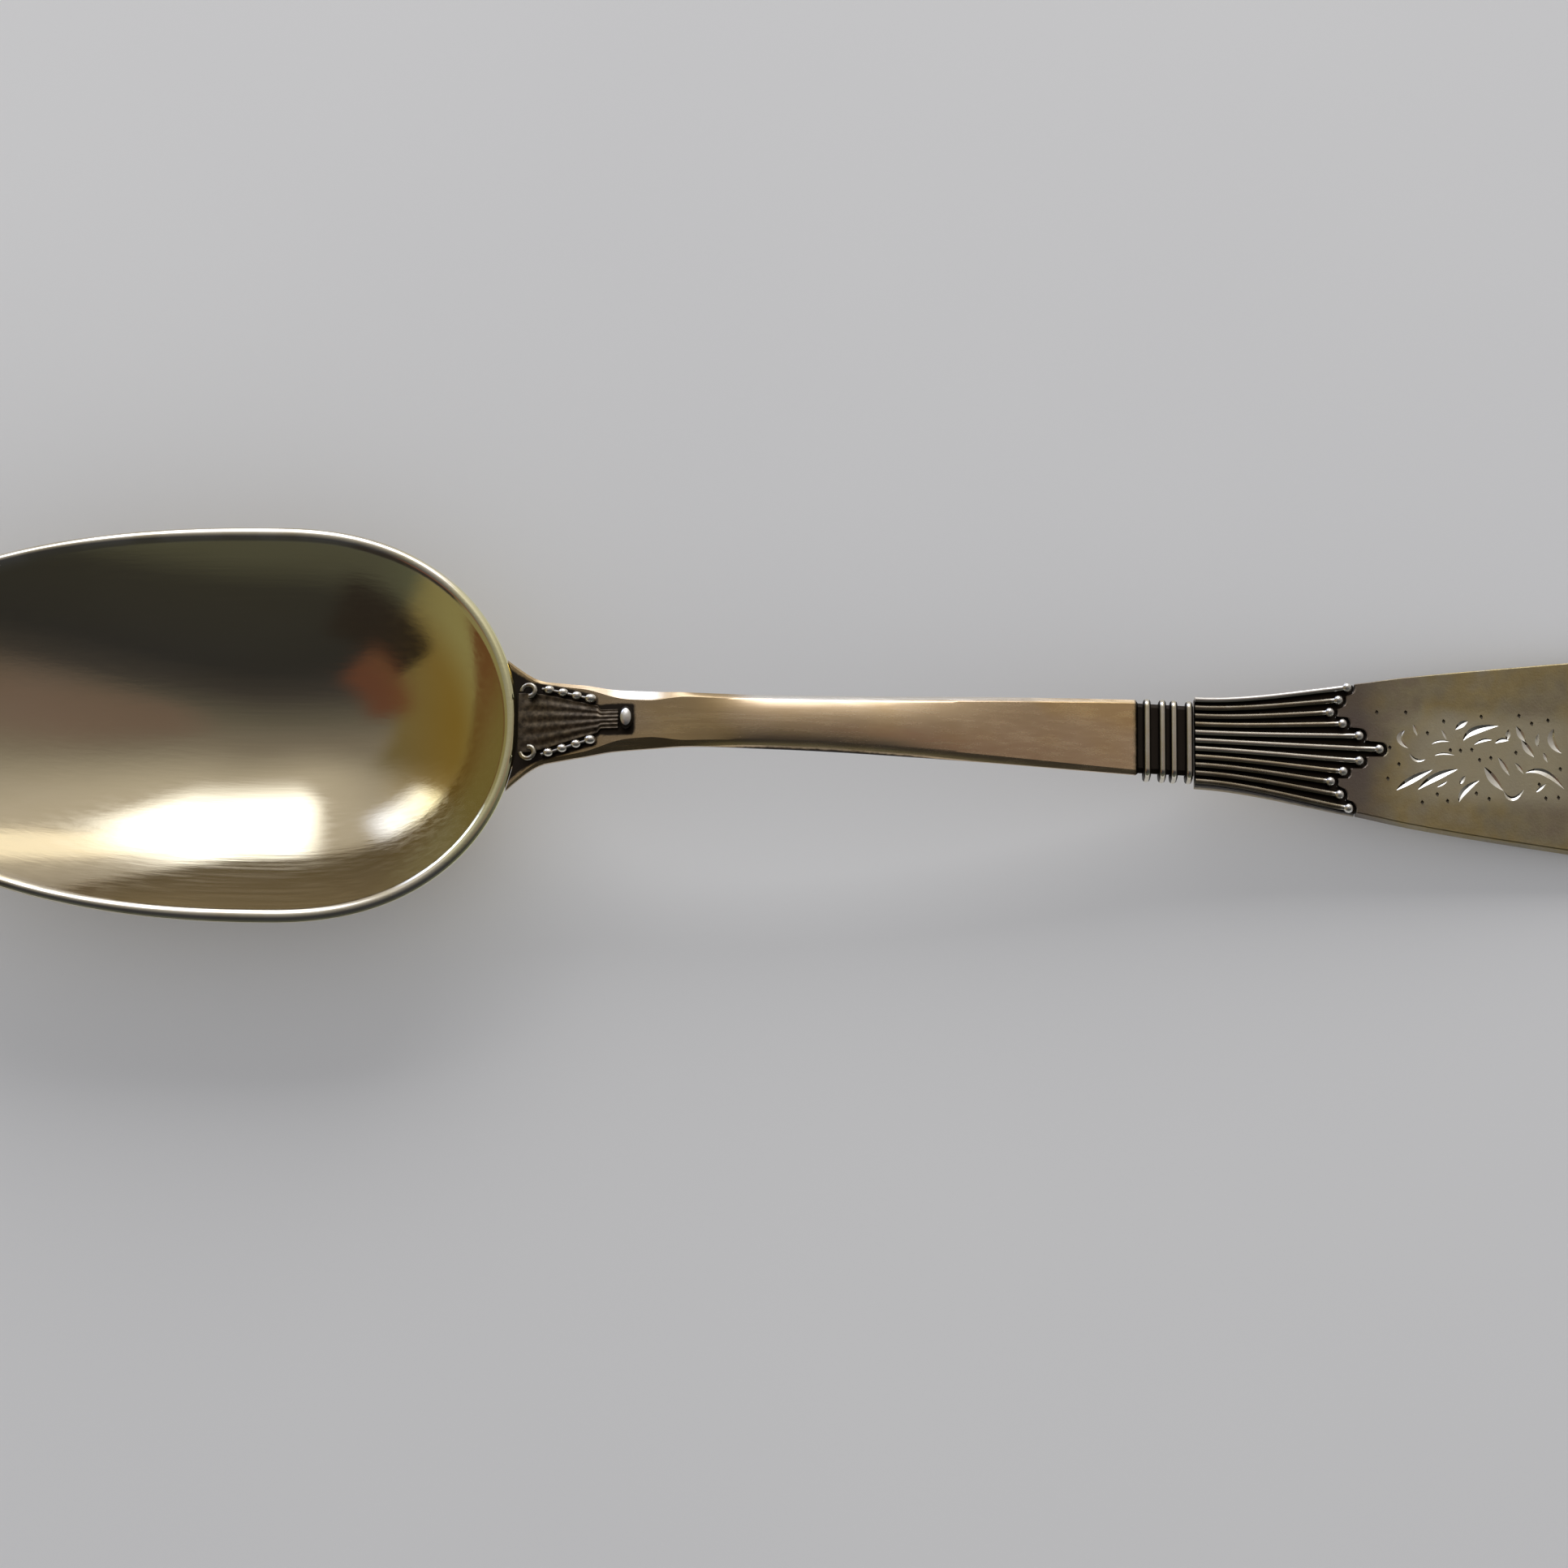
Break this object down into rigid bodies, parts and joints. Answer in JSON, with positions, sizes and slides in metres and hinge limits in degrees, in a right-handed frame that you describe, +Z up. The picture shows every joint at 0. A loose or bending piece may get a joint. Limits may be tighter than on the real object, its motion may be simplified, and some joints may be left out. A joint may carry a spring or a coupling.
{
  "type": "souvenir spoon",
  "caption": "Gold-washed silver teaspoon with an egg-shaped bowl, a beaded tongue on the stem, a wire collar, a reeded neck ending in beads, and a broad satin blade for engraving.",
  "frame": {"origin": "on the table, under the middle of the spoon's length and width", "axes": "+X from the bowl's tip to the end of the handle, +Y across the spoon, +Z up out of the bowl"},
  "size_m": [0.152, 0.0316, 0.0119],
  "materials": {
    "gold_wash": "polished gold wash on silver",
    "worn_gilt": "polished gilt, rubbed in use",
    "bright_silver": "bright silver with a trace of gilt",
    "oxidised_silver": "oxidised, dark in its recesses",
    "satin_gilt": "satin gilt, bright-cut"
  },
  "bodies": {
    "root": {"bowl": "gold_wash", "back_drop": "worn_gilt", "stem": "worn_gilt", "tongue": "oxidised_silver", "tongue_beading_left": "bright_silver", "tongue_beading_right": "bright_silver", "tongue_scroll_left": "bright_silver", "tongue_scroll_right": "bright_silver", "tongue_tip_bead": "bright_silver", "collar_wire_1": "bright_silver", "collar_wire_2": "bright_silver", "collar_wire_3": "bright_silver", "collar_wire_4": "bright_silver", "reed_panel": "oxidised_silver", "reed_01": "bright_silver", "reed_02": "bright_silver", "reed_03": "bright_silver", "reed_04": "bright_silver", "reed_05": "bright_silver", "reed_06": "bright_silver", "reed_07": "bright_silver", "reed_08": "bright_silver", "reed_09": "bright_silver", "reed_10": "bright_silver", "reed_11": "bright_silver", "blade": "satin_gilt"}
  },
  "joints": []
}
